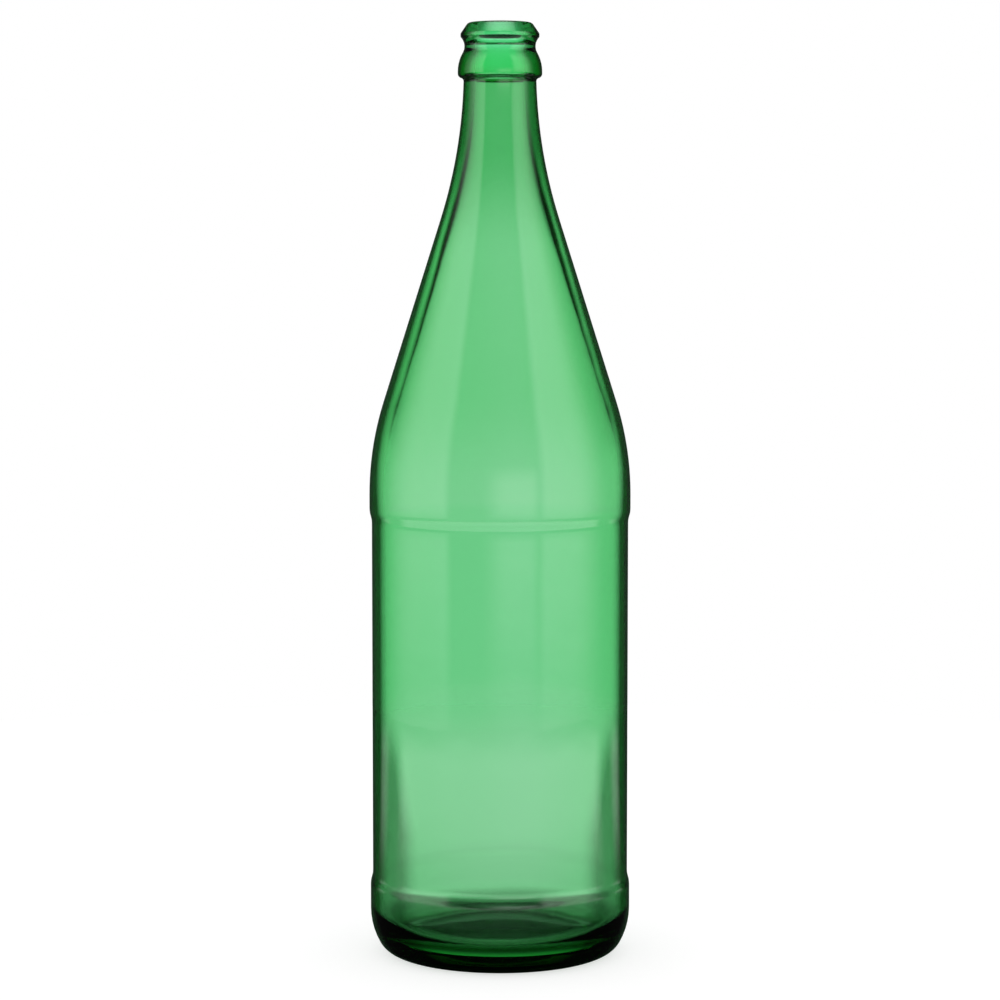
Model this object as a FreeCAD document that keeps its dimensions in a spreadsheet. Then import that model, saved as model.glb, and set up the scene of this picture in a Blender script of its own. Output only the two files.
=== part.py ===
import FreeCAD, Part
import math
import os
import Sketcher

# Driving sizes, in millimetres and degrees
SIZES = {
    # Crown finish
    "bore_radius": 8.25,
    "inner_lip_round": 1.2,
    "lip_land": 0.35,
    "lip_round": 1.8,
    "ring_depth": 3.9,
    "ring_radius": 13.3,
    "ring_land": 0.7,
    "ring_nose": 0.6,
    "recess_depth": 1.3,
    "recess_round": 4.4,
    "bead_rise": 2.25,
    "flank_round": 12.5,
    "bead_land": 0.7,
    "bead_round": 1.5,
    "neck_step": 1.95,
    "neck_fillet": 1.2,
    # Neck and shoulder
    "neck_taper": 1.6,
    "neck_length": 25.0,
    "flare_round": 169.0,
    "cone_angle": 17.5,
    "shoulder_round": 105.0,
    # Body
    "body_radius": 44.5,
    "body_wall": 3.5,
    "upper_band": 4.6,
    "panel_recess": 0.78,
    "panel_height": 119.87,
    "step_round": 8.0,
    "lower_band": 8.0,
    # Heel and base
    "heel_height": 15.2,
    "heel_round": 23.0,
    "toe_round": 7.7,
    "inner_heel_round": 10.0,
    "heel_floor": 5.0,
    "bearing_width": 2.5,
    "push_up": 4.5,
    "base_thickness": 5.5,
}

doc = FreeCAD.newDocument("Bottle")
sheet = doc.addObject("Spreadsheet::Sheet", "Sizes")
for row, (alias, value) in enumerate(SIZES.items(), start=1):
    sheet.set(f"A{row}", alias)
    sheet.set(f"B{row}", str(value))
    sheet.setAlias(f"B{row}", alias)
doc.recompute()


class Measure:
    """A length worked out from the sheet: its value now, and the expression that keeps it."""

    def __init__(self, value, text):
        self.value = value
        self.text = text

    def joined(self, other, sign, value):
        text = other.text if isinstance(other, Measure) else str(other)
        return Measure(value, f"({self.text} {sign} {text})")

    def __add__(self, other):
        return self.joined(other, "+", self.value + number(other))

    def __sub__(self, other):
        return self.joined(other, "-", self.value - number(other))

    def __mul__(self, other):
        return self.joined(other, "*", self.value * number(other))

    def __truediv__(self, other):
        return self.joined(other, "/", self.value / number(other))

    def sqrt(self):
        return Measure(math.sqrt(self.value), f"sqrt({self.text})")

    def sin(self):
        return Measure(math.sin(math.radians(self.value)), f"sin({self.text})")

    def cos(self):
        return Measure(math.cos(math.radians(self.value)), f"cos({self.text})")

    def tan(self):
        return Measure(math.tan(math.radians(self.value)), f"tan({self.text})")


def number(length):
    return length.value if isinstance(length, Measure) else length


class SheetSizes:
    """Every cell of the sheet as a Measure."""

    def __init__(self):
        for alias in SIZES:
            setattr(self, alias, Measure(float(sheet.get(alias)), f"Sizes.{alias}"))


size = SheetSizes()
ZERO = Measure(0.0, "0")


def step_rise(first_round, second_round, step):
    """Height in which two tangent arcs carry an upright wall sideways by a step."""
    return (step * ((first_round + second_round) * 2 - step)).sqrt()


def step_turn(first_round, second_round, step):
    """Angle, in degrees, at which those two arcs meet."""
    return math.degrees(math.acos(1 - step.value / (first_round.value + second_round.value)))


# Radii of the finish, the neck and the body
recess_radius = size.ring_radius - size.recess_depth
bead_radius = recess_radius + size.bead_rise
neck_radius = bead_radius - size.neck_step
panel_radius = size.body_radius - size.panel_recess
inner_radius = panel_radius - size.body_wall
inner_flare_round = size.flare_round + neck_radius - size.bore_radius
inner_shoulder_round = size.shoulder_round - size.body_wall

# Heights, stacked from the surface that the bottle stands on
panel_step = step_rise(size.step_round, size.step_round, size.panel_recess)
heel_top = size.heel_height + size.lower_band + panel_step
panel_zone = size.panel_height + panel_step + size.upper_band
panel_top = heel_top + panel_zone
flare_reach = size.flare_round * (size.neck_taper.cos() - size.cone_angle.cos())
shoulder_reach = size.shoulder_round - size.shoulder_round * size.cone_angle.cos()
cone_reach = size.body_radius - neck_radius - flare_reach - shoulder_reach
flare_rise = size.flare_round * (size.cone_angle.sin() - size.neck_taper.sin())
shoulder_rise = size.shoulder_round * size.cone_angle.sin()
flare_top = shoulder_rise + cone_reach / size.cone_angle.tan() + flare_rise
shoulder_zone = flare_top - size.neck_length
shoulder_top = panel_top + shoulder_zone
neck_top = shoulder_top + size.neck_length

# The heel's toe, and the push-up under the base
toe_reach = size.heel_round - size.toe_round
toe_drop = size.heel_height - size.toe_round
toe_radius = size.body_radius - size.heel_round + (toe_reach * toe_reach - toe_drop * toe_drop).sqrt()
bearing_radius = toe_radius - size.bearing_width
push_round = (bearing_radius * bearing_radius + size.push_up * size.push_up) / (size.push_up * 2)
push_centre = (ZERO, size.push_up - push_round)
floor_round = push_round + size.base_thickness
base_radius = inner_radius - size.inner_heel_round - size.heel_floor
under_turn = math.degrees(math.acos(base_radius.value / push_round.value))
floor_turn = math.degrees(math.acos(base_radius.value / floor_round.value))

# The sketcher's numbers for an edge's points, and for the sketch's own two axes
START, END, CENTRE = range(1, 4)
AXIS, FLOOR = range(-2, 0)


class Outline:
    """A half section, drawn as one closed run of lines and arcs and turned about the axis."""

    def __init__(self, name, height):
        self.body = doc.addObject("PartDesign::Body", name)
        self.body.Label = name
        self.body.setExpression("Placement.Base.z", height.text)
        plane = next(item for item in self.body.Origin.OriginFeatures if item.Role == "XZ_Plane")
        self.sketch = self.body.newObject("Sketcher::SketchObject", f"{name}_section")
        self.sketch.AttachmentSupport = [(plane, "")]
        self.sketch.MapMode = "FlatFace"
        self.run = []

    def line(self, start, end):
        """A straight edge between two points, each a radius and a height."""
        edge = self.sketch.addGeometry(Part.LineSegment(vector(start), vector(end)))
        self.run.append((edge, START, END))
        return edge

    def arc(self, centre, radius, first, last):
        """A round edge from one angle to another, either way round."""
        circle = Part.Circle(vector(centre), FreeCAD.Vector(0, 0, 1), radius.value)
        low, high = sorted((math.radians(first), math.radians(last)))
        edge = self.sketch.addGeometry(Part.ArcOfCircle(circle, low, high))
        self.run.append((edge, START, END) if first < last else (edge, END, START))
        self.bind("Radius", edge, radius)
        return edge

    def fix(self, kind, *where):
        return self.sketch.addConstraint(Sketcher.Constraint(kind, *where))

    def bind(self, kind, *where_and_length):
        """A size of the sketch that follows the sheet."""
        *where, length = where_and_length
        index = self.fix(kind, *where, length.value)
        self.sketch.setExpression(f"Constraints[{index}]", length.text)

    def place(self, edge, point, across=None, up=None):
        """Tie a point to a radius, a height or both."""
        for kind, length, own_axis in (("DistanceX", across, AXIS), ("DistanceY", up, FLOOR)):
            if length is ZERO:
                self.fix("PointOnObject", edge, point, own_axis)
            elif length is not None:
                self.bind(kind, FLOOR, START, edge, point, length)

    def stand(self, edge):
        """Lay a straight edge on the outline's own floor."""
        self.place(edge, START, up=ZERO)
        self.place(edge, END, up=ZERO)

    def close(self, smooth):
        """Join each edge to the next, tangent after each edge in the smooth list."""
        for this, following in zip(self.run, self.run[1:] + self.run[:1]):
            kind = "Tangent" if this[0] in smooth else "Coincident"
            self.fix(kind, this[0], this[2], following[0], following[1])

    def turn(self):
        revolve = self.body.newObject("PartDesign::Revolution", f"{self.body.Name}_turned")
        revolve.Profile = self.sketch
        revolve.ReferenceAxis = (self.sketch, ["V_Axis"])
        revolve.Angle = 360
        self.sketch.Visibility = False
        return self.body


def vector(point):
    return FreeCAD.Vector(number(point[0]), number(point[1]), 0)


def on_circle(centre, radius, angle):
    turn = math.radians(angle)
    across = number(centre[0]) + radius.value * math.cos(turn)
    return (across, number(centre[1]) + radius.value * math.sin(turn))


def touch_angle(first, first_round, second, second_round):
    """Angle, in degrees, from the first circle's centre to where a line that touches both circles lies.

    A negative radius puts the second circle on the line's other side.
    """
    across = number(second[0]) - number(first[0])
    up = number(second[1]) - number(first[1])
    lean = math.acos((first_round - second_round) / math.hypot(across, up))
    return math.degrees(math.atan2(up, across) - lean)


def crown_finish():
    """Lip, locking ring, recess and transfer bead round the mouth."""
    under = step_turn(size.bead_round, size.neck_fillet, size.neck_step)
    flank_turn = step_turn(size.flank_round, size.recess_round, size.bead_rise)
    ring_turn = step_turn(size.recess_round, size.ring_nose, size.recess_depth)
    bead_low = step_rise(size.bead_round, size.neck_fillet, size.neck_step)
    bead_high = bead_low + size.bead_land
    recess_height = bead_high + step_rise(size.flank_round, size.recess_round, size.bead_rise)
    ring_low = recess_height + step_rise(size.recess_round, size.ring_nose, size.recess_depth)
    ring_high = ring_low + size.ring_land
    top = ring_high + size.ring_depth
    lip_inside = size.bore_radius + size.inner_lip_round
    lip_outside = lip_inside + size.lip_land
    fillet_centre = (neck_radius + size.neck_fillet, ZERO)
    recess_centre = (recess_radius + size.recess_round, recess_height)
    nose_centre = (size.ring_radius - size.ring_nose, ring_high)
    lip_centre = (lip_outside, top - size.lip_round)
    mouth_centre = (lip_inside, top - size.inner_lip_round)
    side = touch_angle(nose_centre, size.ring_nose.value, lip_centre, size.lip_round.value)

    zone = Outline("crown_finish", neck_top)
    fillet = zone.arc(fillet_centre, size.neck_fillet, 180, 180 - under)
    bead = zone.arc((bead_radius - size.bead_round, bead_low), size.bead_round, -under, 0)
    land = zone.line((bead_radius, bead_low), (bead_radius, bead_high))
    flank = zone.arc((bead_radius - size.flank_round, bead_high), size.flank_round, 0, flank_turn)
    recess = zone.arc(recess_centre, size.recess_round, 180 + flank_turn, 180 - ring_turn)
    under_nose = zone.arc((nose_centre[0], ring_low), size.ring_nose, -ring_turn, 0)
    ring = zone.line((size.ring_radius, ring_low), (size.ring_radius, ring_high))
    nose = zone.arc(nose_centre, size.ring_nose, 0, side)
    slope_low = on_circle(nose_centre, size.ring_nose, side)
    slope = zone.line(slope_low, on_circle(lip_centre, size.lip_round, side))
    lip = zone.arc(lip_centre, size.lip_round, side, 90)
    flat = zone.line((lip_outside, top), (lip_inside, top))
    mouth = zone.arc(mouth_centre, size.inner_lip_round, 90, 180)
    bore = zone.line((size.bore_radius, mouth_centre[1]), (size.bore_radius, ZERO))
    foot = zone.line((size.bore_radius, ZERO), (neck_radius, ZERO))
    zone.close([fillet, bead, land, flank, recess, under_nose, ring, nose, slope, lip, flat, mouth])

    zone.stand(foot)
    zone.place(fillet, CENTRE, *fillet_centre)
    for upright in (land, ring, bore):
        zone.fix("Vertical", upright)
    zone.place(land, START, across=bead_radius)
    zone.bind("Distance", land, size.bead_land)
    zone.place(recess, CENTRE, across=recess_centre[0])
    zone.place(ring, START, across=size.ring_radius)
    zone.bind("Distance", ring, size.ring_land)
    zone.place(lip, CENTRE, across=lip_centre[0])
    zone.fix("Horizontal", flat)
    zone.bind("DistanceY", nose, CENTRE, flat, START, size.ring_depth)
    zone.place(bore, START, across=size.bore_radius)
    return zone.turn()


def flare_centre(radius, flare_round, top):
    """Centre of the neck's flare, for the wall that has this radius at the neck's top."""
    across = radius + flare_round * size.neck_taper.cos()
    return (across, top + flare_round * size.neck_taper.sin())


def flare_angle(centre, flare_round, height):
    """Angle, in degrees, from the flare's centre to its wall at a height."""
    return 180 + math.degrees(math.asin((centre[1] - height).value / flare_round.value))


def neck():
    """Upper part of the flare, under the finish."""
    outer_centre = flare_centre(neck_radius, size.flare_round, size.neck_length)
    inner_centre = flare_centre(size.bore_radius, inner_flare_round, size.neck_length)
    high = 180 + size.neck_taper.value
    outer_low = flare_angle(outer_centre, size.flare_round, ZERO)
    inner_low = flare_angle(inner_centre, inner_flare_round, ZERO)

    zone = Outline("neck", shoulder_top)
    outer = zone.arc(outer_centre, size.flare_round, outer_low, high)
    top = zone.line((neck_radius, size.neck_length), (size.bore_radius, size.neck_length))
    inner = zone.arc(inner_centre, inner_flare_round, high, inner_low)
    foot_inside = on_circle(inner_centre, inner_flare_round, inner_low)
    foot = zone.line(foot_inside, on_circle(outer_centre, size.flare_round, outer_low))
    zone.close([])

    zone.stand(foot)
    zone.place(outer, CENTRE, *outer_centre)
    zone.place(inner, CENTRE, *inner_centre)
    zone.place(top, START, up=size.neck_length)
    zone.fix("Horizontal", top)
    return zone.turn()


def shoulder():
    """Lower part of the flare, the cone and the round shoulder."""
    flare_at = flare_centre(neck_radius, size.flare_round, flare_top)
    inner_flare_at = flare_centre(size.bore_radius, inner_flare_round, flare_top)
    bulge_at = (size.body_radius - size.shoulder_round, ZERO)
    inner_bulge_at = (inner_radius - inner_shoulder_round, ZERO)
    high = flare_angle(flare_at, size.flare_round, shoulder_zone)
    inner_high = flare_angle(inner_flare_at, inner_flare_round, shoulder_zone)
    lean = touch_angle(bulge_at, size.shoulder_round.value, flare_at, -size.flare_round.value)
    inner_rounds = (inner_shoulder_round.value, -inner_flare_round.value)
    inner_lean = touch_angle(inner_bulge_at, inner_rounds[0], inner_flare_at, inner_rounds[1])

    zone = Outline("shoulder", panel_top)
    bulge = zone.arc(bulge_at, size.shoulder_round, 0, lean)
    cone_low = on_circle(bulge_at, size.shoulder_round, lean)
    cone = zone.line(cone_low, on_circle(flare_at, size.flare_round, 180 + lean))
    flare = zone.arc(flare_at, size.flare_round, 180 + lean, high)
    top_outside = on_circle(flare_at, size.flare_round, high)
    top = zone.line(top_outside, on_circle(inner_flare_at, inner_flare_round, inner_high))
    inner_flare = zone.arc(inner_flare_at, inner_flare_round, inner_high, 180 + inner_lean)
    inner_cone_high = on_circle(inner_flare_at, inner_flare_round, 180 + inner_lean)
    inner_cone_low = on_circle(inner_bulge_at, inner_shoulder_round, inner_lean)
    inner_cone = zone.line(inner_cone_high, inner_cone_low)
    inner_bulge = zone.arc(inner_bulge_at, inner_shoulder_round, inner_lean, 0)
    foot = zone.line((inner_radius, ZERO), (size.body_radius, ZERO))
    zone.close([bulge, cone, inner_flare, inner_cone])

    zone.stand(foot)
    zone.place(bulge, CENTRE, *bulge_at)
    zone.place(inner_bulge, CENTRE, *inner_bulge_at)
    zone.place(flare, CENTRE, *flare_at)
    zone.place(inner_flare, CENTRE, *inner_flare_at)
    zone.place(top, START, up=shoulder_zone)
    zone.fix("Horizontal", top)
    return zone.turn()


def label_panel():
    """Plain body wall, set in under the upper contact band."""
    turn = step_turn(size.step_round, size.step_round, size.panel_recess)
    step_top = size.panel_height + panel_step

    zone = Outline("label_panel", heel_top)
    foot = zone.line((inner_radius, ZERO), (panel_radius, ZERO))
    panel = zone.line((panel_radius, ZERO), (panel_radius, size.panel_height))
    hollow = zone.arc((panel_radius + size.step_round, size.panel_height), size.step_round, 180, 180 - turn)
    crest = zone.arc((size.body_radius - size.step_round, step_top), size.step_round, -turn, 0)
    band = zone.line((size.body_radius, step_top), (size.body_radius, panel_zone))
    top = zone.line((size.body_radius, panel_zone), (inner_radius, panel_zone))
    inside = zone.line((inner_radius, panel_zone), (inner_radius, ZERO))
    zone.close([panel, hollow, crest])

    zone.stand(foot)
    for upright in (panel, band, inside):
        zone.fix("Vertical", upright)
    zone.fix("Horizontal", top)
    zone.place(panel, START, across=panel_radius)
    zone.bind("Distance", panel, size.panel_height)
    zone.place(band, START, across=size.body_radius)
    zone.bind("Distance", band, size.upper_band)
    zone.place(inside, START, across=inner_radius)
    return zone.turn()


def heel():
    """Lower contact band, heel curve and bearing ring."""
    turn = step_turn(size.step_round, size.step_round, size.panel_recess)
    band_top = size.heel_height + size.lower_band
    toe_turn = math.degrees(-math.asin(toe_drop.value / toe_reach.value))
    bearing_turn = math.degrees(math.acos(bearing_radius.value / push_round.value))
    corner_radius = inner_radius - size.inner_heel_round
    corner_turn = math.degrees(math.acos(corner_radius.value / (floor_round + size.inner_heel_round).value))
    corner_centre = on_circle(push_centre, floor_round + size.inner_heel_round, corner_turn)

    zone = Outline("heel", ZERO)
    under = zone.arc(push_centre, push_round, under_turn, bearing_turn)
    bearing = zone.line((bearing_radius, ZERO), (toe_radius, ZERO))
    toe = zone.arc((toe_radius, size.toe_round), size.toe_round, -90, toe_turn)
    heel_centre = (size.body_radius - size.heel_round, size.heel_height)
    curve = zone.arc(heel_centre, size.heel_round, toe_turn, 0)
    band = zone.line((size.body_radius, size.heel_height), (size.body_radius, band_top))
    crest = zone.arc((size.body_radius - size.step_round, band_top), size.step_round, 0, turn)
    hollow = zone.arc((panel_radius + size.step_round, heel_top), size.step_round, 180 + turn, 180)
    top = zone.line((panel_radius, heel_top), (inner_radius, heel_top))
    inside = zone.line((inner_radius, heel_top), (inner_radius, corner_centre[1]))
    corner = zone.arc(corner_centre, size.inner_heel_round, 0, corner_turn - 180)
    floor = zone.arc(push_centre, floor_round, corner_turn, floor_turn)
    seam_high = on_circle(push_centre, floor_round, floor_turn)
    seam = zone.line(seam_high, on_circle(push_centre, push_round, under_turn))
    zone.close([bearing, toe, curve, band, crest, inside, corner])

    zone.place(under, CENTRE, *push_centre)
    zone.stand(bearing)
    zone.fix("Vertical", band)
    zone.place(band, START, size.body_radius, size.heel_height)
    zone.bind("Distance", band, size.lower_band)
    zone.place(hollow, CENTRE, across=panel_radius + size.step_round)
    zone.fix("Horizontal", hollow, CENTRE, top, START)
    zone.fix("Horizontal", top)
    zone.fix("Vertical", inside)
    zone.place(inside, START, across=inner_radius)
    zone.fix("Coincident", floor, CENTRE, under, CENTRE)
    zone.fix("Vertical", seam)
    zone.place(seam, START, across=base_radius)
    return zone.turn()


def base():
    """Domed disc of glass over the push-up."""
    zone = Outline("base", ZERO)
    axis = zone.line((ZERO, size.push_up + size.base_thickness), (ZERO, size.push_up))
    under = zone.arc(push_centre, push_round, 90, under_turn)
    seam_low = on_circle(push_centre, push_round, under_turn)
    seam = zone.line(seam_low, on_circle(push_centre, floor_round, floor_turn))
    floor = zone.arc(push_centre, floor_round, floor_turn, 90)
    zone.close([])

    zone.place(under, CENTRE, *push_centre)
    zone.fix("Coincident", floor, CENTRE, under, CENTRE)
    zone.place(axis, START, across=ZERO)
    zone.place(axis, END, across=ZERO)
    zone.fix("Vertical", seam)
    zone.place(seam, START, across=base_radius)
    return zone.turn()


nodes = [crown_finish(), neck(), shoulder(), label_panel(), heel(), base()]
doc.recompute()

# Nothing is written unless every object and every shape is sound
for item in doc.Objects:
    if "Invalid" in item.State or "Error" in item.State:
        raise RuntimeError(f"{item.Label} failed: {item.State}")
for node in nodes:
    if node.Shape.isNull() or not node.Shape.isValid():
        raise RuntimeError(f"{node.Label} has no valid shape")

os.makedirs("parts", exist_ok=True)
for node in nodes:
    node.Shape.exportStep(f"parts/{node.Label}.step")
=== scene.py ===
# Green glass soda bottle: one seamless glass vessel on a pale studio floor
import math

import bmesh
import bpy
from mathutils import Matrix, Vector


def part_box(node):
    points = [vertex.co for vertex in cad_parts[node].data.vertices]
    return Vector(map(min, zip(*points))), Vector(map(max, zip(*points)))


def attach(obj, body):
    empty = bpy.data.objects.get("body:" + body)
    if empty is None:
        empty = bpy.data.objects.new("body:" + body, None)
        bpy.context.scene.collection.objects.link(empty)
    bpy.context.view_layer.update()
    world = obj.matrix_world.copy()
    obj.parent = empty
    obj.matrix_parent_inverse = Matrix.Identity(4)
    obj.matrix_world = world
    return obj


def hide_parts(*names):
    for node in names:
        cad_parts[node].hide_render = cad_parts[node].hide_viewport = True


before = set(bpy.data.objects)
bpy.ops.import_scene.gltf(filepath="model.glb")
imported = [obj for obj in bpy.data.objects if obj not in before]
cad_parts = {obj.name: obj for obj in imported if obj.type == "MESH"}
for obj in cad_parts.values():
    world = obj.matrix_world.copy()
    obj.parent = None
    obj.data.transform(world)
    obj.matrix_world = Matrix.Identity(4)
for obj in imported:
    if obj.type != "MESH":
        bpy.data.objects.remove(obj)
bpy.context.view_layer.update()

MM = 0.001

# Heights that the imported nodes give, in millimetres
BOTTLE_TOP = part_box("crown_finish")[1][2] / MM
NECK_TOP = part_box("neck")[1][2] / MM
PANEL_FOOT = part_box("heel")[1][2] / MM
BODY_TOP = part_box("label_panel")[1][2] / MM
BODY_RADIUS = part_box("label_panel")[1][0] / MM

# Sizes of the outline, in millimetres
WALL = 3.5
PANEL_RECESS = 0.78
STEP_ROUND = 8.0
UPPER_BAND = 4.6
PUSH_UP = 4.5
BASE_THICKNESS = 5.5
BEARING_RADII = (32.34, 34.84)
TOE_ROUND = 7.7
HEEL_ROUND = 23.0
HEEL_HEIGHT = 15.2
INNER_HEEL_ROUND = 10.0
SHOULDER_ROUND = 105.0
FLARE_ROUND = 169.0
NECK_TAPER = math.radians(1.6)
NECK_RADIUS = 12.3
BORE_RADIUS = 8.25
NECK_FILLET = 1.2
BEAD_ROUND = 1.5
BEAD_RADIUS = 14.25
FLANK_ROUND = 12.5
RECESS_ROUND = 4.4
RECESS_RADIUS = 12.0
RING_RADIUS = 13.3
RING_NOSE = 0.6
FINISH_LAND = 0.7
LIP_ROUND = 1.8
LIP_CENTRE = 9.8
MOUTH_ROUND = 1.2

# The lathe: columns round the axis, and how finely arcs are divided
COLUMNS = 192
ARC_STEP = math.radians(6)
RUN_STEP = 3.0
STEP_RUNS = 6
FOLLOW_FADE = 40.0

# Two mould seams half a turn apart, the nearer one to the right of the front
SEAM_TURN = math.radians(-66)
SEAM_OFFSETS = (0.0, 0.35, -0.35, 0.8, -0.8)
SEAM_HEIGHT = 0.025
SEAM_WIDTH = 0.6

# The table's radius, in metres, and the strength of its painted glow in the glass
TABLE_RADIUS = 0.56
MIRRORED_TABLE = 1.3

# The glass: its colour in depth and its refraction
GLASS_COLOUR = (0.17, 0.846, 0.365, 1.0)
GLASS_DENSITY = 260.0
GLASS_IOR = 1.5

# Tints of the skin, laid over each other in this order; the low panel one is painted light, and the foot,
# collar, edge, floor and matte ones are painted shade
CLEAR = (1.0, 1.0, 1.0, 1.0)
SKIN_TINT = (1.0, 0.87, 1.0, 1.0)
PANEL_TINT = (0.75, 0.83, 0.84, 1.0)
# Painted light: the paler tint low on the panel stands in for the bright table seen in the glass below
# its horizon
LOW_PANEL_PAINTED_LIGHT = (1.0, 0.86, 1.0, 1.0)
FINISH_TINT = (0.6, 1.0, 1.0, 1.0)
NECK_TINT = (0.44, 0.65, 0.53, 1.0)
FOOT_SHADE_TINT = (0.18, 0.21, 0.19, 1.0)
COLLAR_SHADE_TINT = (0.05, 0.11, 0.07, 1.0)
EDGE_SHADE_TINT = (0.002, 0.017, 0.004, 1.0)
FLOOR_SHADE_TINT = (0.01, 0.02, 0.01, 1.0)
SHADE_MATTE = (0.02, 0.05, 0.025, 1.0)

# Where the tints lie, by height in metres: from and to, or rise, full, fall and end
PANEL_ZONE = (0.0232, 0.0281, 0.148, 0.1529)
NECK_ZONE = (0.238, 0.276, 0.297, 0.302)
FINISH_RISE = (0.297, 0.302)
PALE_PANEL_TOP = (0.081, 0.091)
FOOT_TOP = (0.066, 0.094)
FOOT_NARROWS = (0.045, 0.085)
COLLAR_RISE = (0.24, 0.28)
EDGE_NARROWS = (0.15, 0.168)
LIP_EDGE = (0.311, 0.314)
FLOOR_TOP = (0.014, 0.02)
SCUFF_HEIGHTS = (0.019, 0.155)
SCUFF_REACHES = (0.006, 0.005)

# How far the view has to graze the skin before the painted shade sets in, from 0 face on to 1 edge on
FOOT_ONSET = (0.23, 0.38)
FOOT_SOFTNESS = 0.16
COLLAR_GRAZE = (0.12, 0.36)
EDGE_ONSET = (0.5, 0.54)
EDGE_SOFTNESS = 0.17
FLOOR_GRAZE = (0.3, 0.46)
OUTLINE_GRAZE = (0.68, 0.92)

# The painted shade on the floor inside: where it fades out, in metres, and how dull it is
FLOOR_FADE = (0.026, 0.036)
FLOOR_DULL = 0.75

# Mirrored panels by bearing from the camera, in degrees, by height, and their light
RIGHT_PANEL = (31, 43, 68, 110)
LEFT_PANEL = (-122, -78, -52, -42)
FRONT_PANEL = (-18, 6, 26, 40)
TALL_PANEL = (-0.20, -0.08, 0.62, 0.82)
LOW_PANEL = (-0.18, -0.07, 0.04, 0.20)
CEILING = (0.84, 0.96, 0.03, 2.5)
RIGHT_LIGHT = 1.75
LEFT_LIGHT = 1.6
FRONT_LIGHT = 1.5
SOFT_LIGHT = 0.8

# The dark stretch of the room seen through the glass
DARK_HEIGHTS = (0.09, 0.20, 0.54, 0.62)
DARK_BEARING = (90, 130)
DARK_LIGHT = 0.02

# The camera: lens in millimetres, place in metres, pitch down in degrees
CAMERA_LENS = 111.19
SENSOR_WIDTH = 36.0
CAMERA_PLACE = (0.0, -1.050, 0.245)
CAMERA_PITCH = 4.866

DEGREES = 180 / math.pi
QUARTER = math.pi / 2


def step_turn(depth, first, second):
    """The angle two tangent arcs turn through to move a wall by depth."""
    return math.acos(1 - depth / (first + second))


def cross_tangent(inside, inside_round, outside, outside_round):
    """The normal of the straight run between a convex and a hollow arc."""
    across = Vector(outside) - Vector(inside)
    slant = math.acos((inside_round + outside_round) / across.length)
    return math.atan2(across.y, across.x) - slant


class Profile:
    """Half outline of the glass, walked from under the base to the floor inside."""

    def __init__(self, radius, height):
        self.points = [(radius, height)]

    def run(self, radius, height):
        r, z = self.points[-1]
        pieces = max(1, math.ceil(math.hypot(radius - r, height - z) / RUN_STEP))
        for i in range(1, pieces + 1):
            part = i / pieces
            self.points.append((r + (radius - r) * part, z + (height - z) * part))

    def arc(self, centre, rounding, start, end):
        turn = abs(end - start)
        pieces = max(3, math.ceil(turn / ARC_STEP), math.ceil(turn * rounding / RUN_STEP))
        first = self.at(centre, rounding, start)
        if math.dist(first, self.points[-1]) > 0.02:
            self.run(*first)
        for i in range(1, pieces + 1):
            self.points.append(self.at(centre, rounding, start + (end - start) * i / pieces))

    @staticmethod
    def at(centre, rounding, angle):
        return (centre[0] + rounding * math.cos(angle), centre[1] + rounding * math.sin(angle))


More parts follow.
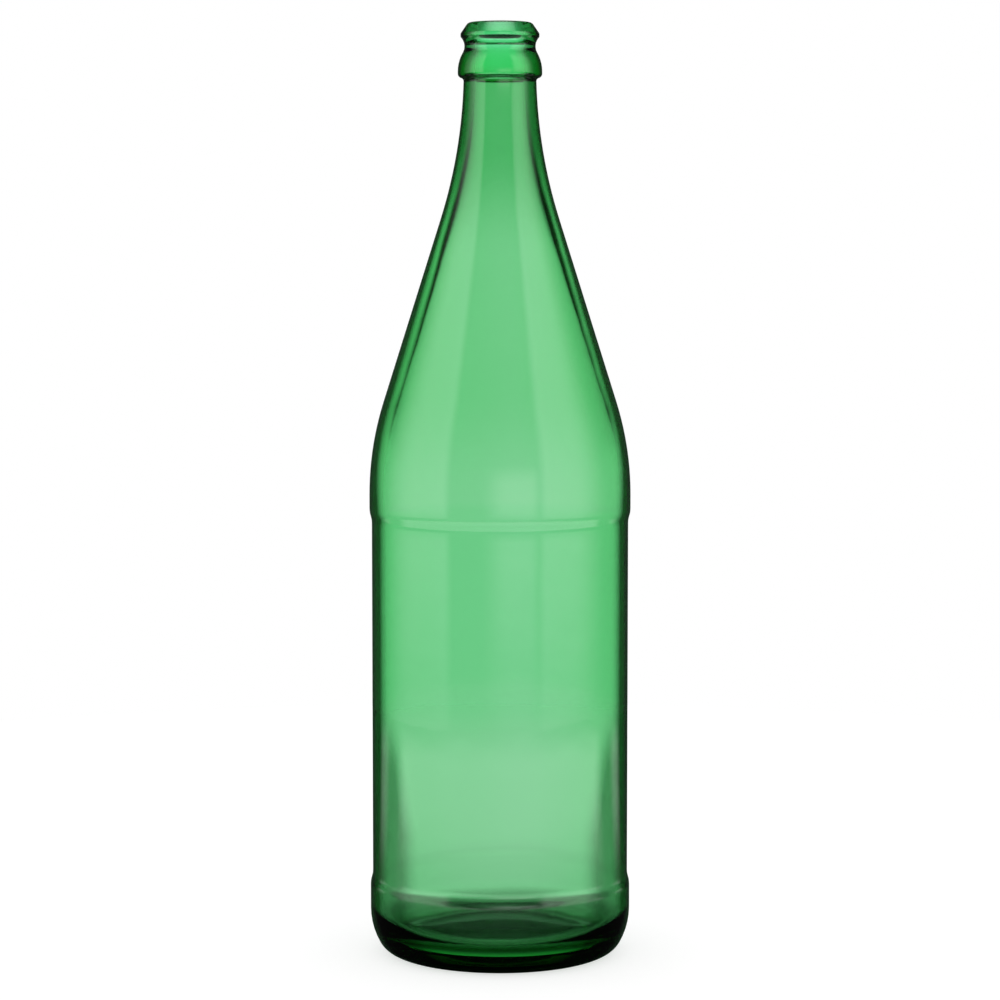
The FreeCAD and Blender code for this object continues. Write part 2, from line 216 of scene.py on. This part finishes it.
def bottle_profile():
    """The outline's points, and how many of them belong to the outside."""
    inner_bearing, outer_bearing = BEARING_RADII
    dome_round = (inner_bearing ** 2 + PUSH_UP ** 2) / (2 * PUSH_UP)
    dome = (0.0, PUSH_UP - dome_round)

    # Underside, bearing ring and heel
    line = Profile(0.0, PUSH_UP)
    line.arc(dome, dome_round, QUARTER, math.acos(inner_bearing / dome_round))
    toe = (outer_bearing, TOE_ROUND)
    heel = (BODY_RADIUS - HEEL_ROUND, HEEL_HEIGHT)
    toe_turn = math.atan2(toe[1] - heel[1], toe[0] - heel[0])
    line.arc(toe, TOE_ROUND, -QUARTER, toe_turn)
    line.arc(heel, HEEL_ROUND, toe_turn, 0.0)

    # Lower band, recessed panel and upper band
    turn = step_turn(PANEL_RECESS, STEP_ROUND, STEP_ROUND)
    rise = 2 * STEP_ROUND * math.sin(turn)
    band = BODY_RADIUS - STEP_ROUND
    panel = BODY_RADIUS - PANEL_RECESS + STEP_ROUND
    panel_head = BODY_TOP - UPPER_BAND - rise
    line.arc((band, PANEL_FOOT - rise), STEP_ROUND, 0.0, turn)
    line.arc((panel, PANEL_FOOT), STEP_ROUND, math.pi + turn, math.pi)
    line.arc((panel, panel_head), STEP_ROUND, math.pi, math.pi - turn)
    line.arc((band, panel_head + rise), STEP_ROUND, -turn, 0.0)

    # Shoulder, cone and flare up to the neck
    flare_reach = FLARE_ROUND * math.cos(NECK_TAPER)
    flare_rise = FLARE_ROUND * math.sin(NECK_TAPER)
    flare = (NECK_RADIUS + flare_reach, NECK_TOP + flare_rise)
    shoulder = (BODY_RADIUS - SHOULDER_ROUND, BODY_TOP)
    cone = cross_tangent(shoulder, SHOULDER_ROUND, flare, FLARE_ROUND)
    line.arc(shoulder, SHOULDER_ROUND, 0.0, cone)
    line.arc(flare, FLARE_ROUND, math.pi + cone, math.pi + NECK_TAPER)

    # Bead under the crown finish
    turn = step_turn(BEAD_RADIUS - NECK_RADIUS, NECK_FILLET, BEAD_ROUND)
    fillet = (NECK_RADIUS + NECK_FILLET, NECK_TOP)
    bead = (BEAD_RADIUS - BEAD_ROUND, NECK_TOP + (NECK_FILLET + BEAD_ROUND) * math.sin(turn))
    line.arc(fillet, NECK_FILLET, math.pi, math.pi - turn)
    line.arc(bead, BEAD_ROUND, -turn, 0.0)

    # Waist between the bead and the locking ring
    turn = step_turn(BEAD_RADIUS - RECESS_RADIUS, FLANK_ROUND, RECESS_ROUND)
    flank = (BEAD_RADIUS - FLANK_ROUND, bead[1] + FINISH_LAND)
    waist = (RECESS_RADIUS + RECESS_ROUND, flank[1] + (FLANK_ROUND + RECESS_ROUND) * math.sin(turn))
    line.arc(flank, FLANK_ROUND, 0.0, turn)
    line.arc(waist, RECESS_ROUND, math.pi + turn, math.pi)
    turn = step_turn(RING_RADIUS - RECESS_RADIUS, RECESS_ROUND, RING_NOSE)
    nose = (RING_RADIUS - RING_NOSE, waist[1] + (RECESS_ROUND + RING_NOSE) * math.sin(turn))
    line.arc(waist, RECESS_ROUND, math.pi, math.pi - turn)
    line.arc(nose, RING_NOSE, -turn, 0.0)

    # Locking ring, sloping lip and mouth
    nose = (nose[0], nose[1] + FINISH_LAND)
    lip = (LIP_CENTRE, BOTTLE_TOP - LIP_ROUND)
    across = Vector(lip) - Vector(nose)
    slope = math.atan2(across.y, across.x) - math.acos((RING_NOSE - LIP_ROUND) / across.length)
    line.arc(nose, RING_NOSE, 0.0, slope)
    line.arc(lip, LIP_ROUND, slope, QUARTER)
    outside = len(line.points)
    line.arc((BORE_RADIUS + MOUTH_ROUND, BOTTLE_TOP - MOUTH_ROUND), MOUTH_ROUND, QUARTER, math.pi)

    # Bore, inner shoulder and inner wall
    inner_flare_round = FLARE_ROUND + NECK_RADIUS - BORE_RADIUS
    inner_flare = (
        BORE_RADIUS + inner_flare_round * math.cos(NECK_TAPER),
        NECK_TOP + inner_flare_round * math.sin(NECK_TAPER),
    )
    inner_radius = BODY_RADIUS - PANEL_RECESS - WALL
    inner_shoulder_round = SHOULDER_ROUND - WALL
    inner_shoulder = (inner_radius - inner_shoulder_round, BODY_TOP)
    cone = cross_tangent(inner_shoulder, inner_shoulder_round, inner_flare, inner_flare_round)
    line.arc(inner_flare, inner_flare_round, math.pi + NECK_TAPER, math.pi + cone)
    line.arc(inner_shoulder, inner_shoulder_round, cone, 0.0)

    # Short runs where the inner wall follows the two steps of the panel
    for head in (panel_head + rise, PANEL_FOOT):
        line.run(inner_radius, head)
        for i in range(1, STEP_RUNS + 1):
            line.points.append((inner_radius, head - rise * i / STEP_RUNS))

    # Rounded corner and domed floor inside
    floor_round = dome_round + BASE_THICKNESS
    corner_reach = inner_radius - INNER_HEEL_ROUND
    corner_rise = math.sqrt((floor_round + INNER_HEEL_ROUND) ** 2 - corner_reach ** 2)
    corner = (corner_reach, dome[1] + corner_rise)
    lean = math.atan2(corner_rise, corner_reach)
    line.arc(corner, INNER_HEEL_ROUND, 0.0, lean - math.pi)
    line.arc(dome, floor_round, lean, QUARTER)
    return line.points, outside


def follow(height):
    """How far the inner wall swells behind the panel's steps, in millimetres."""
    turn = step_turn(PANEL_RECESS, STEP_ROUND, STEP_ROUND)
    rise = 2 * STEP_ROUND * math.sin(turn)
    below = (PANEL_FOOT - height) / rise
    above = (height - BODY_TOP + UPPER_BAND + rise) / rise
    part = min(1.0, max(0.0, below, above))
    swell = 2 * part ** 2 if part < 0.5 else 1 - 2 * (1 - part) ** 2
    fade = min(1.0, max(0.0, (height - BODY_TOP) / FOLLOW_FADE))
    return PANEL_RECESS * swell * (1 - fade ** 2 * (3 - 2 * fade))


def ripple(angle, height):
    """How far the blown inner wall wanders from true, in millimetres."""
    ends = min(1.0, max(0.0, (height - 20) / 30)) * min(1.0, max(0.0, (290 - height) / 60))
    swell = 0.16 * math.cos(2 * angle + 0.9 + height / 160)
    bands = 0.09 * math.cos(5 * angle + 0.4 - height / 210)
    fine = 0.035 * math.cos(11 * angle + 1.7 + height / 90)
    return ends * (swell + bands + fine)


def seam(angle, radius):
    """Height of the mould seam at one place on the outside, in millimetres."""
    off = (angle - SEAM_TURN + QUARTER) % math.pi - QUARTER
    return SEAM_HEIGHT * math.exp(-(off * radius / SEAM_WIDTH) ** 2)


def lathe_columns():
    """Angles round the axis, with extra ones close to each mould seam."""
    turns = {round(SEAM_TURN + math.tau * i / COLUMNS, 9) for i in range(COLUMNS)}
    for half in (0.0, math.pi):
        for offset in SEAM_OFFSETS:
            turns.add(round((SEAM_TURN + half + math.radians(offset)), 9))
    return sorted(turns)


def make_bottle():
    """The glass as one closed mesh, with its outside marked for the material."""
    points, outside = bottle_profile()
    columns = lathe_columns()
    mesh = bmesh.new()
    skin = mesh.verts.layers.float.new("outside")
    rings = []
    for index, (radius, height) in enumerate(points):
        outer = index < outside
        if radius < 0.001:
            ring = [mesh.verts.new((0, 0, height * MM))]
        else:
            ring = []
            for angle in columns:
                reach = radius
                if outer and 2 < height < BOTTLE_TOP - 2:
                    reach += seam(angle, radius)
                elif not outer:
                    reach += ripple(angle, height) + follow(height) * (radius / BODY_RADIUS) ** 2
                place = Vector((reach * math.cos(angle), reach * math.sin(angle), height))
                ring.append(mesh.verts.new(place * MM))
        for vert in ring:
            vert[skin] = 1.0 if outer else 0.0
        rings.append(ring)
    for low, high in zip(rings, rings[1:]):
        count = max(len(low), len(high))
        for i in range(count):
            j = (i + 1) % count
            corners = [low[i % len(low)], low[j % len(low)], high[j % len(high)], high[i % len(high)]]
            mesh.faces.new(list(dict.fromkeys(corners))).smooth = True
    bmesh.ops.recalc_face_normals(mesh, faces=mesh.faces)
    data = bpy.data.meshes.new("bottle_glass")
    mesh.to_mesh(data)
    mesh.free()
    bottle = bpy.data.objects.new("bottle_glass", data)
    bpy.context.scene.collection.objects.link(bottle)
    return bottle


class Nodes:
    """Short calls for building one node tree."""

    def __init__(self, tree):
        self.tree = tree
        tree.nodes.clear()

    def add(self, kind, **inputs):
        node = self.tree.nodes.new(kind)
        for name, value in inputs.items():
            self.set(node, name.replace("_", " "), value)
        return node

    def set(self, node, name, value):
        socket = node.inputs[name]
        if isinstance(value, bpy.types.NodeSocket):
            self.tree.links.new(value, socket)
        else:
            socket.default_value = value

    def math(self, operation, first, second=0.0):
        node = self.tree.nodes.new("ShaderNodeMath")
        node.operation = operation
        for index, value in enumerate((first, second)):
            self.set(node, index, value)
        return node.outputs[0]

    def span(self, value, low, high, to_low=0.0, to_high=1.0, smooth=False):
        node = self.tree.nodes.new("ShaderNodeMapRange")
        if smooth:
            node.interpolation_type = "SMOOTHSTEP"
        for index, item in enumerate((value, low, high, to_low, to_high)):
            self.set(node, index, item)
        return node.outputs[0]

    def band(self, value, rise, top, fall, end):
        climb = self.span(value, rise, top, smooth=True)
        return self.math("MINIMUM", climb, self.span(value, fall, end, 1.0, 0.0, smooth=True))

    def blend(self, factor, first, second):
        node = self.tree.nodes.new("ShaderNodeMix")
        node.data_type = "RGBA"
        sockets = [s for s in node.inputs if s.type == "RGBA" or s.name == "Factor" and s.type == "VALUE"]
        for socket, value in zip(sockets, (factor, first, second)):
            if isinstance(value, bpy.types.NodeSocket):
                self.tree.links.new(value, socket)
            else:
                socket.default_value = value
        return next(s for s in node.outputs if s.type == "RGBA")


def skin_tint_and_shade(n, height, facing, outside):
    """Tint of the glass by zone, with painted light low on the panel and painted shade on the outside
    where the view grazes it.
    """
    panel = n.math("MULTIPLY", n.band(height, *PANEL_ZONE), outside)
    thick = n.math("MULTIPLY", n.band(height, *NECK_ZONE), outside)
    finish = n.math("MULTIPLY", n.span(height, *FINISH_RISE), outside)
    plain = n.blend(outside, CLEAR, SKIN_TINT)
    # The paler panel low on the body is painted light for the bright table seen in the glass
    body = n.blend(n.span(height, *PALE_PANEL_TOP, smooth=True), LOW_PANEL_PAINTED_LIGHT, PANEL_TINT)
    crown = n.blend(finish, n.blend(panel, plain, body), FINISH_TINT)
    green = n.blend(thick, crown, NECK_TINT)

    # Painted shade: darker sides low on the body where the view grazes the skin, standing in for dark
    # surroundings seen through the glass
    foot = n.math("MULTIPLY", n.span(height, *FOOT_TOP, 1.0, 0.0, smooth=True), outside)
    brim = n.span(height, *FOOT_NARROWS, *FOOT_ONSET)
    brim_end = n.math("ADD", brim, FOOT_SOFTNESS)
    shade = n.math("MULTIPLY", n.span(facing, brim, brim_end, smooth=True), foot)
    dusk = n.blend(shade, green, FOOT_SHADE_TINT)

    # Painted shade: darker sides round the thick neck where the view grazes the skin
    collar = n.math("MULTIPLY", n.span(height, *COLLAR_RISE, smooth=True), outside)
    gather = n.math("MULTIPLY", n.span(facing, *COLLAR_GRAZE, smooth=True), collar)
    deep = n.blend(gather, dusk, COLLAR_SHADE_TINT)

    # Painted shade: nearly black edges everywhere the view grazes the skin
    onset = n.span(height, *EDGE_NARROWS, *EDGE_ONSET)
    onset_end = n.math("ADD", onset, EDGE_SOFTNESS)
    edge = n.math("MULTIPLY", n.span(facing, onset, onset_end, smooth=True), outside)
    return n.blend(edge, deep, EDGE_SHADE_TINT)


def painted_floor_shade(n, place, height, facing, outside):
    """Share of painted shade that the thick floor inside shows where the view skims over it."""
    flat = n.add("ShaderNodeVectorMath", Vector=place)
    flat.operation = "MULTIPLY"
    flat.inputs[1].default_value = (1.0, 1.0, 0.0)
    across = n.add("ShaderNodeVectorMath", Vector=flat.outputs["Vector"])
    across.operation = "LENGTH"
    inside = n.math("SUBTRACT", 1.0, outside)
    base = n.math("MULTIPLY", n.span(height, *FLOOR_TOP, 1.0, 0.0), inside)
    dome = n.math("MULTIPLY", n.span(across.outputs["Value"], *FLOOR_FADE, 1.0, 0.0), base)
    return n.math("MULTIPLY", n.span(facing, *FLOOR_GRAZE, smooth=True), dome)


def glass_material():
    """Green bottle glass: absorbing body, painted dark edges and painted shade on the floor inside, fine
    waves and handling scuffs.
    """
    material = bpy.data.materials.new("green_glass_look")
    material.use_nodes = True
    n = Nodes(material.node_tree)
    place = n.add("ShaderNodeTexCoord").outputs["Object"]
    height = n.add("ShaderNodeSeparateXYZ", Vector=place).outputs["Z"]
    facing = n.add("ShaderNodeLayerWeight", Blend=0.5).outputs["Facing"]
    skin = n.tree.nodes.new("ShaderNodeAttribute")
    skin.attribute_name = "outside"
    outside = skin.outputs["Fac"]
    # Painted shade on the floor inside, laid over the skin's tint
    floor = painted_floor_shade(n, place, height, facing, outside)
    shaded_tint = n.blend(floor, skin_tint_and_shade(n, height, facing, outside), FLOOR_SHADE_TINT)

    # Slow waves left by blowing, and a finer orange peel
    waves = n.add("ShaderNodeTexNoise", Vector=place, Scale=38.0, Detail=2.0).outputs["Fac"]
    peel = n.add("ShaderNodeTexNoise", Vector=place, Scale=420.0, Detail=2.0).outputs["Fac"]
    relief = n.math("ADD", waves, n.math("MULTIPLY", peel, 0.02))
    bump = n.add("ShaderNodeBump", Strength=0.05, Distance=0.002, Height=relief).outputs["Normal"]

    # Handling scuffs on the two bands that touch other bottles
    bands = []
    for middle, reach in zip(SCUFF_HEIGHTS, SCUFF_REACHES):
        away = n.math("ABSOLUTE", n.math("SUBTRACT", height, middle))
        bands.append(n.span(away, 0.0, reach, 1.0, 0.0))
    grit = n.add("ShaderNodeTexNoise", Vector=place, Scale=700.0, Detail=4.0).outputs["Fac"]
    worn = n.math("MULTIPLY", n.math("MAXIMUM", *bands), n.span(grit, 0.52, 0.72))
    haze = n.span(waves, 0.3, 0.7, 0.0, 0.02)
    rough = n.math("ADD", haze, n.math("MULTIPLY", worn, 0.12))

    glass = n.add("ShaderNodeBsdfPrincipled", Roughness=rough, IOR=GLASS_IOR, Normal=bump)
    n.set(glass, "Base Color", shaded_tint)
    n.set(glass, "Transmission Weight", 1.0)
    depth = n.add("ShaderNodeVolumeAbsorption", Color=GLASS_COLOUR, Density=GLASS_DENSITY)

    # Painted shade: a dark line round the silhouette, below the lip, and a dull dark floor inside, mixed
    # in as a dark matte shader
    below = n.math("MULTIPLY", n.span(height, *LIP_EDGE, 1.0, 0.0), outside)
    outline = n.math("MULTIPLY", n.span(facing, *OUTLINE_GRAZE, smooth=True), below)
    cover = n.math("MAXIMUM", outline, n.math("MULTIPLY", floor, FLOOR_DULL))
    shade_matte = n.add("ShaderNodeBsdfDiffuse", Color=SHADE_MATTE)
    surface = n.tree.nodes.new("ShaderNodeMixShader")
    for index, value in enumerate((cover, glass.outputs[0], shade_matte.outputs[0])):
        n.set(surface, index, value)
    out = n.add("ShaderNodeOutputMaterial")
    n.set(out, "Surface", surface.outputs[0])
    n.set(out, "Volume", depth.outputs[0])
    return material


def ray_kinds(n):
    """Rays from the camera, rays through the glass, and rays the glass mirrors."""
    path = n.add("ShaderNodeLightPath").outputs
    through = path["Is Transmission Ray"]
    mirrored = n.math("SUBTRACT", path["Is Glossy Ray"], through)
    return path["Is Camera Ray"], through, mirrored, path["Is Diffuse Ray"]


def make_floor():
    """A round pale table, with a painted glow in the glass in front and beside, dim behind."""
    mesh = bmesh.new()
    bmesh.ops.create_circle(mesh, cap_ends=True, segments=96, radius=TABLE_RADIUS)
    data = bpy.data.meshes.new("studio_floor")
    mesh.to_mesh(data)
    mesh.free()
    floor = bpy.data.objects.new("studio_floor", data)
    bpy.context.scene.collection.objects.link(floor)
    material = bpy.data.materials.new("studio_floor_paper")
    material.use_nodes = True
    n = Nodes(material.node_tree)
    camera, through, mirrored = ray_kinds(n)[:3]
    place = n.add("ShaderNodeTexCoord").outputs["Object"]
    x, y = n.add("ShaderNodeSeparateXYZ", Vector=place).outputs[:2]
    length = n.add("ShaderNodeVectorMath", Vector=place)
    length.operation = "LENGTH"
    reach = length.outputs["Value"]

    # Painted light for mirrored rays only: the table glows in front and beside, and in a narrow strip
    # further round
    bearing = n.math("MULTIPLY", n.math("ARCTAN2", y, n.math("ABSOLUTE", x)), DEGREES)
    strip = n.math("MULTIPLY", n.band(bearing, 20, 29, 33, 43), 0.42)
    facing = n.math("ADD", n.span(bearing, 0, 10, 1.0, 0.0), strip)
    ring = n.band(reach, 0.12, 0.34, 0.45, TABLE_RADIUS)
    spread = n.math("MULTIPLY", ring, n.span(x, 0.1, 0.4, 1.0, 1.2))
    gloss = n.math("MULTIPLY", mirrored, MIRRORED_TABLE)
    shine = n.math("MULTIPLY", n.math("MULTIPLY", facing, spread), gloss)

    # Seen through the glass only: a painted pool of light under the push-up, a painted shadow round the
    # foot, and pale further out
    under = n.span(reach, 0.024, 0.036, 0.9, 0.0)
    open_table = n.math("MAXIMUM", n.span(reach, 0.058, 0.085), under)
    clear = n.math("MULTIPLY", open_table, n.span(reach, 0.25, TABLE_RADIUS, 0.55, 0.6))
    glow = n.math("ADD", n.math("MULTIPLY", camera, 0.68), n.math("MULTIPLY", through, clear))

    paper = n.add("ShaderNodeBsdfDiffuse")
    # Painted shade for mirrored rays: the table is near black in the glass apart from its painted glow
    n.set(paper, "Color", n.blend(mirrored, (0.5, 0.5, 0.5, 1.0), (0.02, 0.02, 0.02, 1.0)))
    light = n.add("ShaderNodeEmission", Color=(1, 1, 1, 1), Strength=n.math("ADD", glow, shine))
    total = n.tree.nodes.new("ShaderNodeAddShader")
    n.tree.links.new(paper.outputs[0], total.inputs[0])
    n.tree.links.new(light.outputs[0], total.inputs[1])
    out = n.add("ShaderNodeOutputMaterial")
    n.set(out, "Surface", total.outputs[0])
    data.materials.append(material)


def make_world():
    """A white room to look through, with soft side and front panels in the mirrored view."""
    world = bpy.data.worlds.new("studio_white")
    world.use_nodes = True
    n = Nodes(world.node_tree)
    camera, through, mirrored, diffuse = ray_kinds(n)
    way = n.add("ShaderNodeTexCoord").outputs["Generated"]
    x, y, up = n.add("ShaderNodeSeparateXYZ", Vector=way).outputs
    turn = n.math("MULTIPLY", n.math("ARCTAN2", x, n.math("MULTIPLY", y, -1.0)), DEGREES)

    # Panels by their bearing from the camera, in degrees, and by their height
    right = n.math("MULTIPLY", n.band(turn, *RIGHT_PANEL), RIGHT_LIGHT)
    left = n.math("MULTIPLY", n.band(turn, *LEFT_PANEL), LEFT_LIGHT)
    sides = n.math("MULTIPLY", n.math("ADD", left, right), n.band(up, *TALL_PANEL))
    low = n.math("MULTIPLY", n.band(up, *LOW_PANEL), FRONT_LIGHT)
    front = n.math("MULTIPLY", n.band(turn, *FRONT_PANEL), low)
    over = n.span(up, *CEILING, smooth=True)
    panels = n.math("ADD", n.math("MAXIMUM", sides, front), over)

    # Seen through the glass the room is white, with a dark stretch behind and above the table
    behind = n.span(n.math("ABSOLUTE", turn), *DARK_BEARING)
    dark = n.math("MULTIPLY", n.band(up, *DARK_HEIGHTS), behind)
    room = n.math("MULTIPLY", through, n.span(dark, 0.0, 1.0, 1.0, DARK_LIGHT))
    soft = n.math("MULTIPLY", diffuse, SOFT_LIGHT)
    lit = n.math("ADD", soft, n.math("MULTIPLY", mirrored, panels))
    strength = n.math("ADD", camera, n.math("ADD", room, lit))
    back = n.add("ShaderNodeBackground", Color=(1, 1, 1, 1), Strength=strength)
    out = n.add("ShaderNodeOutputWorld")
    n.set(out, "Surface", back.outputs[0])
    bpy.context.scene.world = world


def make_camera():
    """The photograph's view: level with the upper body, looking slightly down."""
    data = bpy.data.cameras.new("photo_camera")
    data.lens = CAMERA_LENS
    data.sensor_width = SENSOR_WIDTH
    camera = bpy.data.objects.new("photo_camera", data)
    camera.location = CAMERA_PLACE
    camera.rotation_euler = (QUARTER - math.radians(CAMERA_PITCH), 0.0, 0.0)
    bpy.context.scene.collection.objects.link(camera)
    bpy.context.scene.camera = camera


bottle = make_bottle()
bottle.data.materials.append(glass_material())
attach(bottle, "root")
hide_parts("crown_finish", "neck", "shoulder", "label_panel", "heel", "base")
make_floor()
make_world()
make_camera()
bpy.context.scene.view_settings.view_transform = "Standard"
